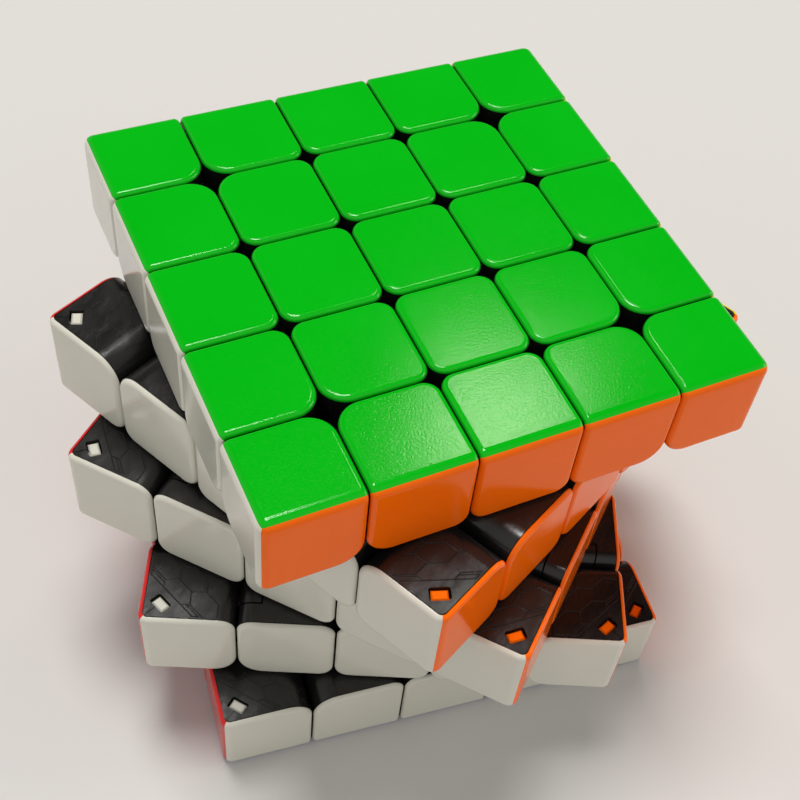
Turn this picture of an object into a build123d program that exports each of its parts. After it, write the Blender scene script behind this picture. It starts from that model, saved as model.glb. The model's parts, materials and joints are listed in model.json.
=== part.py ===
"""Five-layer twisty puzzle cube, as separate bases, clip-on caps, core, screws and springs.

Frame: millimetres, origin at the centre of the core, +Z up through the green face. The middle layer
is square to the axes and the other layers stand turned about Z, as a spiral.

Every gap between layers is a surface of revolution about its own axis: flat outside, then stepped
towards the core inside a radius. So each layer turns freely, and the feet of the outer pieces reach
under their neighbours, which hold them in.
"""
from build123d import *
from itertools import product
from math import sqrt
import os

os.makedirs("parts", exist_ok=True)

# ---- driving dimensions, millimetres ----
middle_width = 12.7            # middle layer, between the centre planes of its two gaps
slice_width = 12.55            # inner slice, between the centre planes of its gaps
layer_gap = 0.2                # free space between two layers
corner_grip = 1.67             # how far the outer step lies outside the corner's inner edge
outer_lip = 2.6                # material over the outer step, measured at the middle of a side
inner_lip = 4.5                # material over the inner step
outer_step = 3.0               # how far the feet of the outer layer reach inwards
inner_step = 2.5               # how far the feet of the inner slices reach inwards
neck_height = 0.4              # full-width neck over the feet, before the rounded block begins
neck_radius = 3.6              # round neck of a corner, along the cube's diagonal
large_corner = 3.3             # corner radius where four outer pieces meet
small_corner = 2.0             # corner radius at every other crossing
cap_thickness = 0.55
cap_round = 0.65               # rounded rim of every cap, along its side walls
edge_round = 1.3               # rounded edge between two coloured faces
base_corner = 0.75             # outer corner of a black base, under its caps
seam_gap = 0.12                # open line between a cap and its base
seam_depth = 0.4
base_wall = 1.4
plug_height = 1.2              # locating plug under a centre cap
plug_clearance = 0.1
window_width = 2.45            # clip window, across the diagonal
window_length = 1.68           # clip window, along the diagonal
window_corner = 0.35
window_reach = 3.7             # middle of the window from the sharp outer corner
tab_width = 1.95
tab_length = 1.3
tab_recess = 0.25              # clip tab below the window's mouth
tab_bevel = 0.2
clip_thickness = 1.0           # leg that carries the tab behind the wall
clip_clearance = 0.1
parting_width = 0.12           # mould line from the window to the corner
parting_depth = 0.12

ball_radius = 20.0
ball_clearance = 0.2
ball_wall = 2.0
arm_diameter = 8.0
arm_clearance = 0.1
hub_width = 11.0
stalk_bore = 5.2
stalk_floor = 2.0
screw_diameter = 2.0
screw_length = 13.0            # under the head
screw_fit = 0.02
centre_fit = 0.05              # running fit of a centre's floor on its screw
head_diameter = 4.4
head_height = 1.3
slot_width = 0.6
slot_length = 3.2
washer_diameter = 4.6
washer_thickness = 0.3
seat_clearance = 0.05
spring_diameter = 4.0
spring_wire = 0.45
spring_turns = 4

# turn of each layer about Z, in degrees, from the top layer to the bottom layer
layer_turns = {2: -40.7, 1: -14.9, 0: 0.0, -1: 24.0, -2: 41.8}

# ---- sizes worked out from them ----
half_gap = layer_gap / 2
inner_cut = middle_width / 2
outer_cut = inner_cut + slice_width
outer_step_radius = outer_cut * sqrt(2) + corner_grip
cube_half = outer_step_radius + outer_lip
inner_step_radius = cube_half - inner_lip
seat_radius = ball_radius + ball_clearance
arm_length = sqrt(ball_radius**2 - (arm_diameter / 2)**2)
outer_foot_reach = sqrt(outer_cut**2 + outer_step_radius**2) + neck_height
inner_foot_reach = sqrt(inner_cut**2 + inner_step_radius**2) + neck_height
far = 2 * cube_half

AXES = (Axis.X, Axis.Y, Axis.Z)
# profile planes whose local x is a radius and whose local y runs along the turning axis
PROFILE_PLANES = (
    Plane(origin=(0, 0, 0), x_dir=(0, 1, 0), z_dir=(0, 0, -1)),
    Plane(origin=(0, 0, 0), x_dir=(0, 0, 1), z_dir=(-1, 0, 0)),
    Plane(origin=(0, 0, 0), x_dir=(1, 0, 0), z_dir=(0, -1, 0)),
)


def layer_profile(index):
    """Half outline (radius, height) of the middle layer, an inner slice or an outer layer."""
    inner_radius = inner_step_radius - half_gap
    inner_wall = inner_step_radius + half_gap
    outer_radius = outer_step_radius - half_gap
    outer_wall = outer_step_radius + half_gap
    if index == 0:
        high = inner_cut - half_gap
        low = high - inner_step
        return [(0, -low), (inner_wall, -low), (inner_wall, -high), (far, -high),
                (far, high), (inner_wall, high), (inner_wall, low), (0, low)]
    if index == 1:
        bottom = inner_cut + half_gap
        top = outer_cut - half_gap
        return [(0, bottom - inner_step), (inner_radius, bottom - inner_step), (inner_radius, bottom),
                (far, bottom), (far, top), (outer_wall, top), (outer_wall, top - outer_step),
                (0, top - outer_step)]
    bottom = outer_cut + half_gap
    return [(0, bottom - outer_step), (outer_radius, bottom - outer_step), (outer_radius, bottom),
            (far, bottom), (far, far), (0, far)]


def layer_space(index, axis_number):
    """All the room of one layer about one axis, as a solid of revolution."""
    with BuildPart() as space:
        with BuildSketch(PROFILE_PLANES[axis_number]):
            Polygon(*layer_profile(index), align=None)
        revolve(axis=AXES[axis_number])
    return space.part


def span(index):
    """Low and high face of a piece's block along an axis where it has this index."""
    if index == 0:
        return -inner_cut + half_gap, inner_cut - half_gap
    if index == 1:
        return inner_cut + half_gap, outer_cut - half_gap
    return outer_cut + half_gap, cube_half


def box_between(low, high, mode=Mode.ADD):
    """Box between two corners."""
    size = [b - a for a, b in zip(low, high)]
    with Locations(tuple(low)):
        Box(*size, align=(Align.MIN, Align.MIN, Align.MIN), mode=mode)


def edges_along(part, axis_number, places):
    """Straight edges parallel to an axis that stand at the given coordinates of the other two."""
    found = []
    others = [n for n in range(3) if n != axis_number]
    for edge in part.edges().filter_by(AXES[axis_number]):
        centre = tuple(edge.center())
        if all(abs(centre[n] - place) < 0.001 for n, place in zip(others, places)):
            found.append(edge)
    return found


def depth_corners(piece, low, high, axis_number):
    """Places and radii of the block's edges that run in from the coloured face on this axis."""
    others = [n for n in range(3) if n != axis_number]
    sides = []
    for n in others:
        if piece[n] == 2:
            sides.append([(low[n], True)])
        else:
            sides.append([(low[n], False), (high[n], piece[n] == 1)])
    for first, second in product(*sides):
        at_outer_crossing = first[1] and second[1]
        yield (first[0], second[0]), large_corner if at_outer_crossing else small_corner


def outer_block(piece, inset=0.0, rounded_rim=True):
    """The block that shows at the surface: deep edges rounded, and the rim of its coloured faces."""
    low = [span(n)[0] + inset for n in piece]
    high = [span(n)[1] if n == 2 else span(n)[1] - inset for n in piece]
    if sum(n == 2 for n in piece) == 1:
        low[2] = outer_cut - outer_step
    with BuildPart() as block:
        box_between(low, high)
        for radius in (large_corner, small_corner):
            chosen = []
            for axis_number in [n for n in range(3) if piece[n] == 2]:
                for places, wanted in depth_corners(piece, low, high, axis_number):
                    if wanted == radius:
                        chosen += edges_along(block.part, axis_number, places)
            if chosen:
                fillet(chosen, radius - inset)
        if rounded_rim:
            outer_edges = edges_between_colours(block.part, piece, high)
            if outer_edges:
                fillet(outer_edges, edge_round)
            fillet(rim_edges(block.part, piece), cap_round)
    return block.part


def edges_between_colours(part, piece, high):
    """Straight edges where two coloured faces of a piece meet."""
    found = []
    for axis_number in range(3):
        others = [n for n in range(3) if n != axis_number]
        if all(piece[n] == 2 for n in others):
            found += edges_along(part, axis_number, [high[n] for n in others])
    return found


def rim_edges(part, piece):
    """Edges where the coloured faces, and the rounded edges between them, meet the side walls."""
    outside = []
    for face in part.faces():
        centre = tuple(face.center())
        if any(n == 2 and value > cube_half - edge_round for n, value in zip(piece, centre)):
            outside += face.edges()
    return [edge for edge in outside if outside.count(edge) == 1]


def capless_space(piece, depth):
    """Everything deeper than this below the coloured faces of a piece."""
    high = [cube_half - depth if n == 2 else far for n in piece]
    with BuildPart() as space:
        box_between((-far, -far, -far), high)
        outer_edges = edges_between_colours(space.part, piece, high)
        if outer_edges:
            fillet(outer_edges, base_corner)
    return space.part


def window_plane(piece, axis_number, side):
    """Plane of a clip window: on the side wall, y along the diagonal towards the outer corner."""
    others = [(axis_number + 1) % 3, (axis_number + 2) % 3]
    low, high = span(piece[axis_number])
    centre = [0.0, 0.0, 0.0]
    centre[axis_number] = high if side > 0 else low
    across = [0.0, 0.0, 0.0]
    outward = [0.0, 0.0, 0.0]
    outward[axis_number] = side
    for n, sign in zip(others, (1, -1)):
        centre[n] = cube_half - window_reach / sqrt(2)
        across[n] = sign * side
    return Plane(origin=tuple(centre), x_dir=tuple(across), z_dir=tuple(outward))


def window_sides(piece):
    """Side walls that meet two coloured faces, each with the axis of the cap whose clip it shows."""
    for axis_number in range(3):
        first, second = (axis_number + 1) % 3, (axis_number + 2) % 3
        if piece[first] == 2 and piece[second] == 2:
            if piece[axis_number] != 2:
                yield axis_number, 1, second
            yield axis_number, -1, first


def pocket_space(piece):
    """The hollow of a base, open under its caps."""
    if sum(n == 2 for n in piece) > 1:
        return outer_block(piece, inset=base_wall, rounded_rim=False)
    low, high = [], []
    for n in piece[:2]:
        if n == 0:
            low.append(-inner_cut + half_gap + inner_step + base_wall)
            high.append(inner_cut - half_gap - inner_step - base_wall)
        else:
            low.append(inner_cut + half_gap + base_wall)
            high.append(outer_cut - half_gap - outer_step - base_wall)
    with BuildPart() as pocket:
        box_between(low + [seat_radius + stalk_floor], high + [far])
    return pocket.part


def own_space(piece):
    """The room that all three of its layers leave a piece, down to the centre planes."""
    low = [-inner_cut if n == 0 else 0 for n in piece]
    high = [inner_cut if n == 0 else cube_half for n in piece]
    with BuildPart() as space:
        box_between(low, high)
        for axis_number, index in enumerate(piece):
            add(layer_space(index, axis_number), mode=Mode.INTERSECT)
    return space.part


def make_foot(piece):
    """The inner end of a piece, at its full width under the rounded block."""
    with BuildPart() as foot:
        add(own_space(piece))
        Sphere(outer_foot_reach if sum(n == 2 for n in piece) > 1 else inner_foot_reach,
               mode=Mode.INTERSECT)
        if piece == CORNER:
            add(make_neck())
        if piece in (WING, MIDGE):
            add(valley_space(piece), mode=Mode.SUBTRACT)
    return foot.part


def valley_space(piece):
    """Valleys that carry a piece's rounded deep edges on inwards over its foot, at the inner cuts."""
    low, high = span(piece[0])
    walls = [(low, 1)] if piece == WING else [(low, 1), (high, -1)]
    radius = small_corner
    with BuildPart() as valleys:
        for wall, inward in walls:
            for origin, along in (((wall, 0, outer_cut), (0, 1, 0)), ((wall, outer_cut, 0), (0, 0, 1))):
                with BuildSketch(Plane(origin=origin, x_dir=(inward, 0, 0), z_dir=along)):
                    with Locations((radius / 2, 0)):
                        Rectangle(radius, 2 * (radius + half_gap))
                    with Locations((radius, radius + half_gap), (radius, -radius - half_gap)):
                        Circle(radius, mode=Mode.SUBTRACT)
                extrude(amount=far)
        Sphere(outer_step_radius, mode=Mode.SUBTRACT)
    return valleys.part


def make_neck():
    """Neck of a corner along the cube's diagonal, from its foot past the rounded end of its block."""
    with BuildPart() as neck:
        with BuildSketch(Plane(origin=(0, 0, 0), z_dir=(1, 1, 1))):
            Circle(neck_radius)
        extrude(amount=outer_cut * sqrt(3) + large_corner + base_wall)
        add(own_space(CORNER), mode=Mode.INTERSECT)
    return neck.part


def make_base(piece):
    """Black base: outer block, foot under the neighbours, ball seat, hollow and clip windows."""
    with BuildPart() as base:
        add(own_space(piece))
        add(outer_block(piece), mode=Mode.INTERSECT)
        add(make_foot(piece))
        add(capless_space(piece, cap_thickness), mode=Mode.INTERSECT)
        Sphere(seat_radius, mode=Mode.SUBTRACT)
        if piece == CENTRE:
            with BuildSketch(Plane.XY.offset(seat_radius + stalk_floor)):
                Circle(stalk_bore / 2)
            extrude(amount=far, mode=Mode.SUBTRACT)
            with BuildSketch(Plane.XY):
                Circle(screw_diameter / 2 + centre_fit)
            extrude(amount=far, mode=Mode.SUBTRACT)
        else:
            add(pocket_space(piece), mode=Mode.SUBTRACT)
        for axis_number, side, _ in window_sides(piece):
            place = window_plane(piece, axis_number, side)
            with BuildSketch(place):
                RectangleRounded(window_width, window_length, window_corner)
            extrude(amount=-base_wall - half_gap, mode=Mode.SUBTRACT)
            with BuildSketch(place):
                with Locations((0, window_reach / 2)):
                    Rectangle(parting_width, window_reach)
            extrude(amount=-parting_depth, mode=Mode.SUBTRACT)
        add(seam_groove(piece), mode=Mode.SUBTRACT)
    return base.part


def seam_groove(piece):
    """Open line round the outside of a base, just under its caps."""
    with BuildPart() as groove:
        add(outer_block(piece, rounded_rim=False))
        add(capless_space(piece, cap_thickness + seam_gap), mode=Mode.SUBTRACT)
        add(outer_block(piece, inset=seam_depth, rounded_rim=False), mode=Mode.SUBTRACT)
    return groove.part


def mitre_space(piece, axis_number):
    """The room nearer to this coloured face than to the piece's other coloured faces."""
    with BuildPart() as space:
        box_between((-far, -far, -far), (far, far, far))
        for other in range(3):
            if other != axis_number and piece[other] == 2:
                outward = [0.0, 0.0, 0.0]
                outward[axis_number] = 1
                outward[other] = -1
                split(bisect_by=Plane(origin=(0, 0, 0), z_dir=tuple(outward)), keep=Keep.TOP)
    return space.part


def make_cap(piece, axis_number):
    """Coloured cap on one face: plate with a rounded rim, and its clips or its locating plug."""
    inside = cube_half - cap_thickness
    with BuildPart() as cap:
        add(outer_block(piece))
        add(capless_space(piece, cap_thickness), mode=Mode.SUBTRACT)
        add(mitre_space(piece, axis_number), mode=Mode.INTERSECT)
        for wall_axis, side, owner in window_sides(piece):
            if owner != axis_number:
                continue
            place = window_plane(piece, wall_axis, side)
            depth = base_wall + clip_clearance + clip_thickness
            with BuildSketch(place.offset(-depth)):
                Rectangle(tab_width, tab_length)
            extrude(amount=depth - tab_recess - tab_bevel)
            with BuildSketch(place.offset(-tab_recess - tab_bevel)):
                Rectangle(tab_width, tab_length)
            extrude(amount=tab_bevel, taper=45)
            middle = cube_half - window_reach / sqrt(2)
            low = [middle - tab_width / 2] * 3
            high = [middle + tab_width / 2] * 3
            wall_face = span(piece[wall_axis])[1 if side > 0 else 0]
            leg_faces = (wall_face - side * depth, wall_face - side * (depth - clip_thickness))
            low[wall_axis], high[wall_axis] = min(leg_faces), max(leg_faces)
            high[axis_number] = inside
            low[axis_number] = middle
            box_between(low, high)
        if sum(n == 2 for n in piece) == 1:
            with BuildSketch(Plane.XY.offset(inside)):
                if piece == CENTRE:
                    Circle(stalk_bore / 2 - plug_clearance)
                else:
                    centre, size = pocket_outline(piece)
                    with Locations(centre):
                        Rectangle(size[0] - 2 * plug_clearance, size[1] - 2 * plug_clearance)
            extrude(amount=-plug_height)
    return cap.part


def pocket_outline(piece):
    """Middle and size of a centre piece's pocket, seen from the coloured face."""
    box = pocket_space(piece).bounding_box()
    return (box.center().X, box.center().Y), (box.size.X, box.size.Y)


# ---- where the pieces go ----
CORNER = (2, 2, 2)
WING = (1, 2, 2)
MIDGE = (0, 2, 2)
X_CENTRE = (1, 1, 2)
T_CENTRE = (1, 0, 2)
CENTRE = (0, 0, 2)
PIECES = {"corner": CORNER, "wing": WING, "midge": MIDGE,
          "x_centre": X_CENTRE, "t_centre": T_CENTRE, "centre": CENTRE}
LAYERS = {2: "top", 1: "upper_slice", 0: "middle", -1: "lower_slice", -2: "bottom"}
# colour of the face that looks along each direction, in a layer's own frame
COLOURS = {(0, 0, 1): "green", (0, 0, -1): "blue", (0, -1, 0): "orange",
           (-1, 0, 0): "white", (0, 1, 0): "red", (1, 0, 0): "yellow"}


def turned(location, vector):
    """Whole-number image of a vector under a quarter-turn rotation."""
    return tuple(round(value) for value in (location * Location(vector)).position)


def cube_rotations():
    """The 24 ways to turn a cube onto itself."""
    seen = {}
    for angles in product((0, 90, 180, 270), repeat=3):
        location = Location((0, 0, 0), angles)
        key = (turned(location, (1, 0, 0)), turned(location, (0, 1, 0)))
        seen.setdefault(key, location)
    return list(seen.values())


def placements(piece):
    """One location for each place that this kind of piece fills, keyed by the place."""
    found = {}
    for location in cube_rotations():
        found.setdefault(turned(location, piece), location)
    return found


def write(name, solids):
    """One file that holds a group of separate solids."""
    group = Compound(solids)
    group.label = name
    export_step(group, f"parts/{name}.step")


def build_pieces():
    """Sort every base and cap into its layer's nodes, and write them."""
    nodes = {}
    for kind, piece in PIECES.items():
        base = make_base(piece)
        caps = {n: make_cap(piece, n) for n in range(3) if piece[n] == 2}
        for place, location in placements(piece).items():
            layer = LAYERS[place[2]]
            turn = Location((0, 0, 0), (0, 0, layer_turns[place[2]]))
            here = turn * location
            plural = "base" if kind == "centre" and abs(place[2]) == 2 else "bases"
            nodes.setdefault(f"{layer}_{kind}_{plural}", []).append(base.moved(here))
            for axis_number, cap in caps.items():
                outward = [0, 0, 0]
                outward[axis_number] = 1
                face = turned(location, tuple(outward))
                colour = COLOURS[face]
                if face[2] == 0:
                    name = f"{layer}_{colour}_side_caps"
                else:
                    name = f"{colour}_{kind}_{'cap' if kind == 'centre' else 'caps'}"
                nodes.setdefault(name, []).append(cap.moved(here))
    for name, solids in nodes.items():
        write(name, solids)
    return nodes


# ---- the core ----
CORE_DIRECTIONS = list(placements(CENTRE).values())


def make_cross():
    """Six-armed cross with a pilot hole for a screw in each arm."""
    with BuildPart() as cross:
        Box(hub_width, hub_width, hub_width)
        for axis in ((1, 0, 0), (0, 1, 0), (0, 0, 1)):
            with BuildSketch(Plane(origin=(0, 0, 0), z_dir=axis)):
                Circle(arm_diameter / 2)
            extrude(amount=arm_length, both=True)
        for location in CORE_DIRECTIONS:
            outward = turned(location, (0, 0, 1))
            hole_bottom = seat_radius + stalk_floor + washer_stack() - screw_length - screw_fit
            start = tuple(hole_bottom * value for value in outward)
            with BuildSketch(Plane(origin=start, z_dir=outward)):
                Circle(screw_diameter / 2 + screw_fit)
            extrude(amount=far, mode=Mode.SUBTRACT)
    return cross.part


def washer_stack():
    """Height of the screw head's underside over a centre's floor."""
    return seat_clearance + washer_thickness + spring_length()


def spring_length():
    """Length of a spring as fitted: its turns at twice the wire's pitch."""
    return spring_turns * spring_wire * 2


def make_ball_half(side):
    """Half of the hollow ball that the inner pieces slide on, split at the middle of its height."""
    with BuildPart() as half:
        Sphere(ball_radius)
        Sphere(ball_radius - ball_wall, mode=Mode.SUBTRACT)
        for axis in ((1, 0, 0), (0, 1, 0), (0, 0, 1)):
            with BuildSketch(Plane(origin=(0, 0, 0), z_dir=axis)):
                Circle(arm_diameter / 2 + arm_clearance)
            extrude(amount=far, both=True, mode=Mode.SUBTRACT)
        split(bisect_by=Plane(origin=(0, 0, 0), z_dir=(0, 0, side)), keep=Keep.TOP)
    return half.part


def make_screw():
    """Cross-slot screw that holds the top centre, along Z."""
    head_bottom = seat_radius + stalk_floor + washer_stack()
    with BuildPart() as screw:
        with BuildSketch(Plane.XY.offset(head_bottom - screw_length)):
            Circle(screw_diameter / 2)
        extrude(amount=screw_length)
        with BuildSketch(Plane.XY.offset(head_bottom)):
            Circle(head_diameter / 2)
        extrude(amount=head_height)
        with BuildSketch(Plane.XY.offset(head_bottom + head_height)):
            Rectangle(slot_length, slot_width)
            Rectangle(slot_width, slot_length)
        extrude(amount=-head_height / 2, mode=Mode.SUBTRACT)
    return screw.part


def make_washer():
    """Washer between a spring and the floor of its centre."""
    with BuildPart() as washer:
        with BuildSketch(Plane.XY.offset(seat_radius + stalk_floor + seat_clearance)):
            Circle(washer_diameter / 2)
            Circle(screw_diameter / 2 + centre_fit, mode=Mode.SUBTRACT)
        extrude(amount=washer_thickness)
    return washer.part


def make_spring():
    """Coil spring round a screw, between its washer and its head."""
    bottom = seat_radius + stalk_floor + seat_clearance + washer_thickness + spring_wire / 2
    radius = (spring_diameter - spring_wire) / 2
    height = spring_length() - spring_wire
    with BuildPart() as spring:
        with BuildLine():
            coil = Helix(pitch=height / spring_turns, height=height, radius=radius, center=(0, 0, bottom))
        with BuildSketch(Plane(origin=coil @ 0, z_dir=coil % 0)):
            Circle(spring_wire / 2 - screw_fit)
        sweep(path=coil, is_frenet=True)
    return spring.part


def build_core():
    """Write the cross, the ball and the six sets of centre hardware."""
    for name, part in (("core_cross", make_cross()), ("core_ball_upper_half", make_ball_half(1)),
                       ("core_ball_lower_half", make_ball_half(-1))):
        part.label = name
        export_step(part, f"parts/{name}.step")
    for name, part in (("centre_screws", make_screw()), ("centre_springs", make_spring()),
                       ("centre_washers", make_washer())):
        write(name, [part.moved(location) for location in CORE_DIRECTIONS])


build_pieces()
build_core()
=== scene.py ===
import json
import math

import bmesh
import bpy
from mathutils import Matrix, Vector


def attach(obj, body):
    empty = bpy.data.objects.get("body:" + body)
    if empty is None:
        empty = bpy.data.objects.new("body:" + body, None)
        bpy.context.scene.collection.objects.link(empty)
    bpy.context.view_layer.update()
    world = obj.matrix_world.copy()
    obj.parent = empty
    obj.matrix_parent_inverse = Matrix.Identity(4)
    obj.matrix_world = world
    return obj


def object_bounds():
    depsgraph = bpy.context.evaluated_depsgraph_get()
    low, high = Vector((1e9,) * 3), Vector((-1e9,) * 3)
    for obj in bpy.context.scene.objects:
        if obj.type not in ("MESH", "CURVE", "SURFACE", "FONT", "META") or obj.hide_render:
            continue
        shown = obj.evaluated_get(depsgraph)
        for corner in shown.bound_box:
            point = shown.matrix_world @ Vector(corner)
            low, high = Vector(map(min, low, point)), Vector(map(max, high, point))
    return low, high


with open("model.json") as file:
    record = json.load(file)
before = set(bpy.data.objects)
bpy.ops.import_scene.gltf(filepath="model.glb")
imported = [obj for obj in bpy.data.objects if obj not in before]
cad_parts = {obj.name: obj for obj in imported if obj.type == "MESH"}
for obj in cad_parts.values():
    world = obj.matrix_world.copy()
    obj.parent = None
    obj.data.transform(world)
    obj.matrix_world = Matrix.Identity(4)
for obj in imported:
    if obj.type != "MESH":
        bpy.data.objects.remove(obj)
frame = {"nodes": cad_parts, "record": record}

MM = 0.001
cad_low, cad_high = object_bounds()

# ---- camera ----
camera_place_mm = (-106.3, -39.3, 141.9)
camera_aim_mm = (2.8, -10.4, 0.0)
camera_roll = 11.0             # degrees, right side lifted
camera_lens = 59.9
camera_shift = (-0.094, 0.029)

# ---- moulded honeycomb on the inner faces of the corner posts, seen along Z ----
# In a layer's own frame, at the post where x and y are both negative.
layer_turns = {"top_layer": -40.7, "upper_slice": -14.9, "core_and_middle_layer": 0.0,
               "lower_slice": 24.0, "bottom_layer": 41.8}
inner_face_mm = 6.45           # heights of the inner faces of the slices, as built
slice_face_mm = 18.8
outer_face_mm = 19.0
middle_face_mm = 6.25
ridge_width_mm = 0.2
ridge_height_mm = 0.08
ridge_sink_mm = 0.03
cell_start_mm = (-28.29, -24.86)
cell_edges_mm = ((1.87, 0.0), (1.66, -1.66), (0.0, -1.87))
wide_flat_mm = 22.4            # a post's flat ends here beside a large corner radius
narrow_flat_mm = 21.1          # and here beside a small one
border_limit_mm = 30.05        # inner side of the caps' seam
triangle_mm = 54.35            # |x| + |y| of the ridge that bounds the smooth corner
double_mm = 53.6               # and of the shorter ridge beside it on both flanks
cell_rows = 6                  # cells drawn to each side of the start, before clipping
shortest_part = 0.05           # a clipped line keeps at least this share of its length
ridge_profile = ((-1.0, -ridge_sink_mm), (-0.62, ridge_height_mm * 0.72), (0.0, ridge_height_mm),
                 (0.62, ridge_height_mm * 0.72), (1.0, -ridge_sink_mm))   # share of half width, rise
ridge_overlap = 0.5            # a ridge runs past its ends by this share of half its width

# ---- light and floor ----
floor_size = 6.0
floor_colour = (0.65, 0.635, 0.615, 1)
sky_colour = (1.0, 0.985, 0.96, 1)
sky_strength = 0.64
dim_sky_strength = 0.05
dim_sky_direction = (0.62, 0.15, 0.77)
dim_sky_edge = 0.35            # cosine to that direction where the sky starts to dim
dim_sky_core = 0.85            # and where it is dimmest


# ---- materials ----
def node_material(name):
    """A material with a Principled shader; returns the material, its tree and the shader."""
    material = bpy.data.materials.new(name)
    material.use_nodes = True
    tree = material.node_tree
    return material, tree, tree.nodes["Principled BSDF"]


def noise(tree, scale, detail=2.0, roughness=0.5, stretch=(1, 1, 1)):
    """Noise in the object's own coordinates; scale is in features per metre."""
    coordinates = tree.nodes.new("ShaderNodeTexCoord")
    mapping = tree.nodes.new("ShaderNodeMapping")
    mapping.inputs["Scale"].default_value = stretch
    texture = tree.nodes.new("ShaderNodeTexNoise")
    texture.inputs["Scale"].default_value = scale
    texture.inputs["Detail"].default_value = detail
    texture.inputs["Roughness"].default_value = roughness
    tree.links.new(coordinates.outputs["Object"], mapping.inputs["Vector"])
    tree.links.new(mapping.outputs["Vector"], texture.inputs["Vector"])
    return texture.outputs["Fac"]


def remap(tree, value, low, high, from_low=0.3, from_high=0.7):
    """Value spread from one range to another."""
    node = tree.nodes.new("ShaderNodeMapRange")
    node.inputs["From Min"].default_value = from_low
    node.inputs["From Max"].default_value = from_high
    node.inputs["To Min"].default_value = low
    node.inputs["To Max"].default_value = high
    tree.links.new(value, node.inputs["Value"])
    return node.outputs["Result"]


def colour_drift(tree, shader, dark, light, scale):
    """Base colour that drifts slowly between two close tones."""
    mix = tree.nodes.new("ShaderNodeMix")
    mix.data_type = "RGBA"
    mix.inputs["A"].default_value = (*dark, 1)
    mix.inputs["B"].default_value = (*light, 1)
    tree.links.new(remap(tree, noise(tree, scale, 3.0), 0, 1), mix.inputs["Factor"])
    tree.links.new(mix.outputs["Result"], shader.inputs["Base Color"])


def add_bump(tree, shader, height, strength, distance_mm, under=None):
    """Bump from a height, laid over an earlier bump."""
    bump = tree.nodes.new("ShaderNodeBump")
    bump.inputs["Strength"].default_value = strength
    bump.inputs["Distance"].default_value = distance_mm * MM
    tree.links.new(height, bump.inputs["Height"])
    if under:
        tree.links.new(under.outputs["Normal"], bump.inputs["Normal"])
    tree.links.new(bump.outputs["Normal"], shader.inputs["Normal"])
    return bump


def cap_plastic(name, dark, light, roughness=0.11, specular=0.5):
    """Glossy coloured plastic with a fine sparkling grain, as moulded stickerless caps have."""
    material, tree, shader = node_material(name)
    colour_drift(tree, shader, dark, light, scale=60)
    shader.inputs["IOR"].default_value = 1.4
    shader.inputs["Specular IOR Level"].default_value = specular
    polish = noise(tree, scale=5500, detail=1.0, roughness=0.6)
    tree.links.new(remap(tree, polish, roughness * 0.55, roughness * 1.5), shader.inputs["Roughness"])
    grain = noise(tree, scale=4400, detail=1.0)
    add_bump(tree, shader, grain, strength=0.8, distance_mm=0.013)
    return material


def base_plastic(name, dark, light, roughness=0.21):
    """Black nylon-like plastic: semi-gloss, a little wavy, with rubbed marks."""
    material, tree, shader = node_material(name)
    colour_drift(tree, shader, dark, light, scale=120)
    rubbed = noise(tree, scale=260, detail=6.0, roughness=0.65, stretch=(1, 2.5, 1))
    tree.links.new(remap(tree, rubbed, roughness * 0.7, roughness * 1.5), shader.inputs["Roughness"])
    waves = noise(tree, scale=380, detail=3.0, roughness=0.55)
    under = add_bump(tree, shader, waves, strength=0.5, distance_mm=0.05)
    grain = noise(tree, scale=3600, roughness=0.6)
    add_bump(tree, shader, grain, strength=0.4, distance_mm=0.012, under=under)
    return material


def steel(name):
    """Bright drawn steel of the hidden screws, springs and washers."""
    material, tree, shader = node_material(name)
    colour_drift(tree, shader, (0.50, 0.50, 0.51), (0.62, 0.62, 0.63), 300)
    shader.inputs["Metallic"].default_value = 1.0
    tree.links.new(remap(tree, noise(tree, 2000, 3.0), 0.2, 0.4), shader.inputs["Roughness"])
    return material


MATERIALS = {
    "green_plastic": cap_plastic("green_plastic", (0.0, 0.415, 0.005), (0.001, 0.435, 0.007), specular=0.4),
    "orange_plastic": cap_plastic("orange_plastic", (0.93, 0.134, 0.001), (0.97, 0.148, 0.002), specular=0.2),
    "white_plastic": cap_plastic("white_plastic", (0.64, 0.625, 0.54), (0.67, 0.655, 0.57)),
    "red_plastic": cap_plastic("red_plastic", (0.55, 0.013, 0.012), (0.61, 0.019, 0.017)),
    "yellow_plastic": cap_plastic("yellow_plastic", (0.72, 0.60, 0.008), (0.78, 0.66, 0.014)),
    "blue_plastic": cap_plastic("blue_plastic", (0.003, 0.045, 0.36), (0.006, 0.06, 0.41)),
    "black_plastic": base_plastic("black_plastic", (0.008, 0.008, 0.008), (0.013, 0.0125, 0.012)),
    "core_plastic": base_plastic("core_plastic", (0.02, 0.02, 0.022), (0.04, 0.04, 0.042)),
    "spring_steel": steel("spring_steel"),
}
for part in frame["record"]["subparts"]:
    node = frame["nodes"][part["node"]]
    node.data.materials.clear()
    node.data.materials.append(MATERIALS[part["material_slot"]])


# ---- honeycomb ----
def clipped(start, end, flat):
    """Part of a line that lies on the flat of the post, outside the smooth corner, or None."""
    first, last = 0.0, 1.0
    limits = ((1, 0, -flat), (0, 1, -flat), (-1, 0, border_limit_mm),
              (0, -1, border_limit_mm), (-1, -1, triangle_mm))
    for a, b, most in limits:
        here = a * start[0] + b * start[1] - most
        there = a * end[0] + b * end[1] - most
        if here > 0 and there > 0:
            return None
        if here > 0:
            first = max(first, here / (here - there))
        elif there > 0:
            last = min(last, here / (here - there))
    if last - first < shortest_part:
        return None
    step = Vector(end) - Vector(start)
    return Vector(start) + step * first, Vector(start) + step * last


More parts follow.
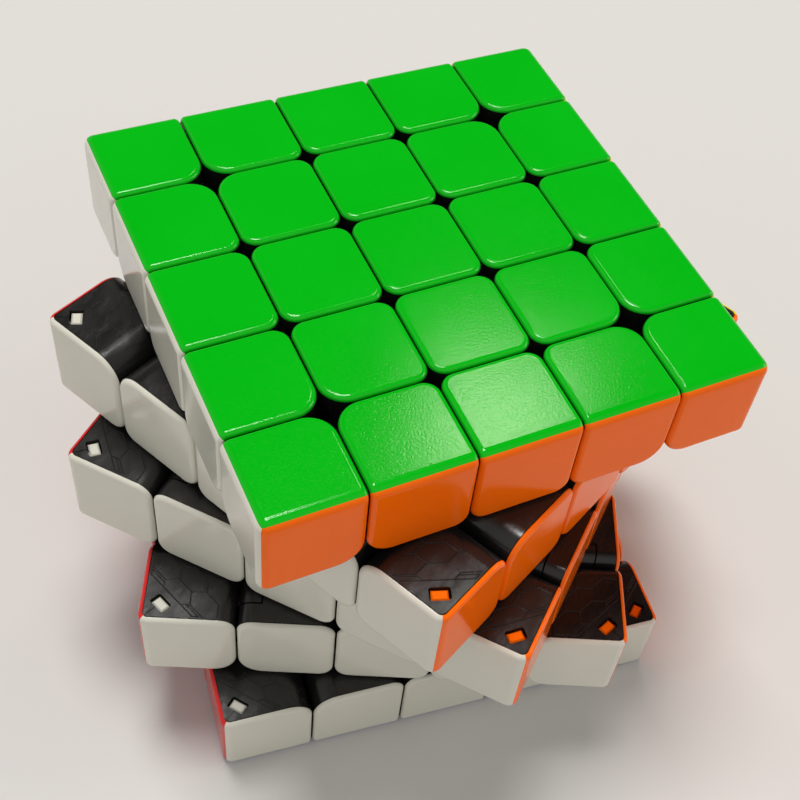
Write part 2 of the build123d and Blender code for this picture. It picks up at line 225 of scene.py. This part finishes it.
def corner_lines():
    """The ridge that bounds the smooth corner, and the short closed loop on each of its flanks."""
    far_end = triangle_mm - border_limit_mm
    loop_end = double_mm - border_limit_mm
    loop_start = double_mm + cell_start_mm[0]
    yield Vector((-border_limit_mm, -far_end)), Vector((-far_end, -border_limit_mm))
    yield Vector((-border_limit_mm, -loop_end)), Vector((cell_start_mm[0], -loop_start))
    yield Vector((-loop_end, -border_limit_mm)), Vector((-loop_start, cell_start_mm[0]))
    yield Vector((-border_limit_mm, -loop_end)), Vector((-border_limit_mm, -far_end))
    yield Vector((-loop_end, -border_limit_mm)), Vector((-far_end, -border_limit_mm))


def honeycomb_lines(flat):
    """Lines of the hexagon pattern on one post."""
    along, slanted, down = (Vector(edge) for edge in cell_edges_mm)
    across = along + slanted
    below = slanted + down
    lines = list(corner_lines())
    for row in range(-cell_rows, cell_rows + 1):
        for column in range(-cell_rows, cell_rows + 1):
            corner = Vector(cell_start_mm) + across * row + below * column
            for start, end in ((corner, corner + along), (corner + along, corner + across),
                               (corner, corner + down)):
                kept = clipped(start, end, flat)
                if kept:
                    lines.append(kept)
    return lines


def add_ridge(mesh, start, end, height, side):
    """A low rounded ridge between two points, in millimetres, on a face at this height."""
    direction = (end - start).normalized()
    across = Vector((-direction.y, direction.x))
    reach = ridge_width_mm / 2
    start = start - direction * reach * ridge_overlap
    end = end + direction * reach * ridge_overlap
    rows = []
    for point in (start, end):
        row = []
        for offset, rise in ridge_profile:
            place = point + across * offset * reach
            row.append(mesh.verts.new((place.x * MM, place.y * MM, (height + side * rise) * MM)))
        rows.append(row)
    near, far = rows
    for n in range(len(ridge_profile) - 1):
        mesh.faces.new((near[n], near[n + 1], far[n + 1], far[n]))
    mesh.faces.new(near)
    mesh.faces.new(list(reversed(far)))
    mesh.faces.new((near[0], far[0], far[-1], near[-1]))


def add_honeycomb(body, heights):
    """Honeycomb ridges on all four posts of one layer, as one piece that rides with the layer."""
    mesh = bmesh.new()
    for height, side, flat in heights:
        for quarter in range(4):
            turn = Matrix.Rotation(math.radians(90 * quarter + layer_turns[body]), 2)
            for start, end in honeycomb_lines(flat):
                add_ridge(mesh, turn @ start, turn @ end, height, side)
    bmesh.ops.recalc_face_normals(mesh, faces=mesh.faces)
    data = bpy.data.meshes.new(body + "_honeycomb")
    mesh.to_mesh(data)
    mesh.free()
    piece = bpy.data.objects.new(body + "_honeycomb", data)
    bpy.context.collection.objects.link(piece)
    data.materials.append(MATERIALS["black_plastic"])
    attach(piece, body)


# ---- floor, light and camera ----
def make_floor():
    """Plain pale floor that the cube stands on."""
    bpy.ops.mesh.primitive_plane_add(size=floor_size, location=(0, 0, cad_low.z))
    floor = bpy.context.object
    floor.name = "floor"
    material, _, shader = node_material("floor_paper")
    shader.inputs["Base Color"].default_value = floor_colour
    shader.inputs["Roughness"].default_value = 0.6
    shader.inputs["Specular IOR Level"].default_value = 0.2
    floor.data.materials.append(material)


def area_light(name, place, aim, size, power, colour):
    """Soft square lamp aimed at a point."""
    data = bpy.data.lights.new(name, "AREA")
    data.size = size
    data.energy = power
    data.color = colour
    lamp = bpy.data.objects.new(name, data)
    lamp.location = place
    lamp.rotation_euler = (Vector(aim) - Vector(place)).to_track_quat("-Z", "Y").to_euler()
    bpy.context.collection.objects.link(lamp)


def make_lights():
    """A small lamp for the highlight, a key overhead, a side lamp, and a sky dim around the first."""
    area_light("highlight", place=(0.357, 0.069, 0.52), aim=(0, 0, 0.03), size=0.08, power=0.27,
               colour=(1.0, 0.95, 0.80))
    area_light("key", place=(0.16, 0.18, 1.0), aim=(0, 0, 0), size=0.35, power=8.1,
               colour=(1.0, 0.99, 0.97))
    area_light("side", place=(0.5, -0.75, 0.3), aim=(0, 0, 0), size=0.4, power=1.5,
               colour=(1.0, 0.98, 0.94))
    world = bpy.data.worlds.new("sky")
    world.use_nodes = True
    tree = world.node_tree
    direction = tree.nodes.new("ShaderNodeTexCoord")
    towards = tree.nodes.new("ShaderNodeVectorMath")
    towards.operation = "DOT_PRODUCT"
    towards.inputs[1].default_value = dim_sky_direction
    tree.links.new(direction.outputs["Generated"], towards.inputs[0])
    strength = remap(tree, towards.outputs["Value"], sky_strength, dim_sky_strength,
                     dim_sky_edge, dim_sky_core)
    background = tree.nodes["Background"]
    background.inputs["Color"].default_value = sky_colour
    tree.links.new(strength, background.inputs["Strength"])
    bpy.context.scene.world = world


def make_camera():
    """Camera that looks down on the near corner, rolled a little as a hand-held one is."""
    data = bpy.data.cameras.new("camera")
    data.lens = camera_lens
    data.sensor_width = 36
    data.shift_x, data.shift_y = camera_shift
    data.clip_start = 0.01
    camera = bpy.data.objects.new("camera", data)
    place = Vector(camera_place_mm) * MM
    look = (Vector(camera_aim_mm) * MM - place).to_track_quat("-Z", "Y")
    roll = Matrix.Rotation(math.radians(camera_roll), 4, "Z")
    camera.matrix_world = Matrix.Translation(place) @ look.to_matrix().to_4x4() @ roll
    bpy.context.collection.objects.link(camera)
    bpy.context.scene.camera = camera


add_honeycomb("top_layer", ((outer_face_mm, -1, wide_flat_mm),))
add_honeycomb("upper_slice", ((slice_face_mm, 1, wide_flat_mm), (inner_face_mm, -1, narrow_flat_mm)))
add_honeycomb("core_and_middle_layer",
              ((middle_face_mm, 1, narrow_flat_mm), (-middle_face_mm, -1, narrow_flat_mm)))
add_honeycomb("lower_slice",
              ((-inner_face_mm, 1, narrow_flat_mm), (-slice_face_mm, -1, wide_flat_mm)))
add_honeycomb("bottom_layer", ((-outer_face_mm, 1, wide_flat_mm),))
make_floor()
make_lights()
make_camera()
bpy.context.scene.view_settings.view_transform = "Standard"
